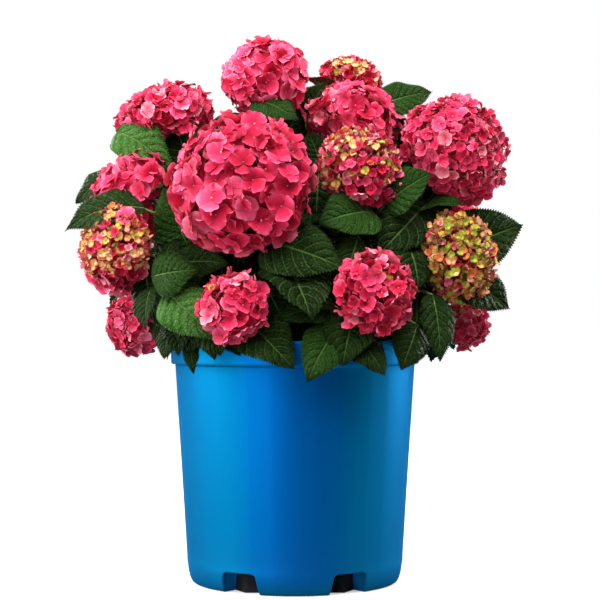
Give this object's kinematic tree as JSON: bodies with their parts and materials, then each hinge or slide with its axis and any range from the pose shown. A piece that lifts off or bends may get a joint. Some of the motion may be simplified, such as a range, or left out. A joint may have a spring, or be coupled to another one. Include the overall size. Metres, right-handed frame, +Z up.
{
  "type": "hydrangea shrub in a pot",
  "caption": "Round-headed flowering shrub in a plastic nursery pot: canes, leafy masses with pink mophead blooms and low shoots that hang over the rim.",
  "frame": {"origin": "centre of the pot's flat underside", "axes": "+Z up along the pot's axis, -Y towards the front, where the largest flower head is, +X to the right as seen from the front"},
  "size_m": [0.409, 0.3466, 0.4923],
  "materials": {
    "pot_plastic": "blue moulded plastic with a soft sheen",
    "potting_soil": "dark damp bark and peat mix",
    "woody_stems": "grey-brown flaking bark, green on the young wood",
    "foliage": "green quilted leaves with a soft sheen",
    "flower_heads": "matt pink petals"
  },
  "bodies": {
    "root": {"pot": "pot_plastic", "potting_soil": "potting_soil", "woody_crown": "woody_stems", "cane_front_left": "woody_stems", "cane_left": "woody_stems", "cane_upper_left": "woody_stems", "cane_top": "woody_stems", "cane_upper_middle": "woody_stems", "cane_front_right": "woody_stems", "cane_right": "woody_stems", "cane_back_right": "woody_stems", "cane_back_middle": "woody_stems", "cane_back_left": "woody_stems", "flowering_mass_front_left": "flower_heads", "flowering_mass_left": "flower_heads", "flowering_mass_upper_left": "flower_heads", "flowering_mass_top": "flower_heads", "flowering_mass_upper_middle": "flower_heads", "flowering_mass_front_right": "flower_heads", "flowering_mass_right": "flower_heads", "flowering_mass_back_right": "flower_heads", "flowering_mass_back_middle": "flower_heads", "flowering_mass_back_left": "flower_heads", "leafy_shoot_front_left": "foliage", "leafy_shoot_front": "foliage", "leafy_shoot_front_right": "foliage", "leafy_shoot_right": "foliage", "leafy_shoot_back": "foliage", "leafy_shoot_left": "foliage", "rim_shoot_front": "foliage", "rim_shoot_front_right": "foliage", "rim_shoot_right": "foliage", "rim_shoot_back_right": "foliage", "rim_shoot_back_left": "foliage", "rim_shoot_left": "foliage", "rim_shoot_front_left": "foliage"}
  },
  "joints": []
}
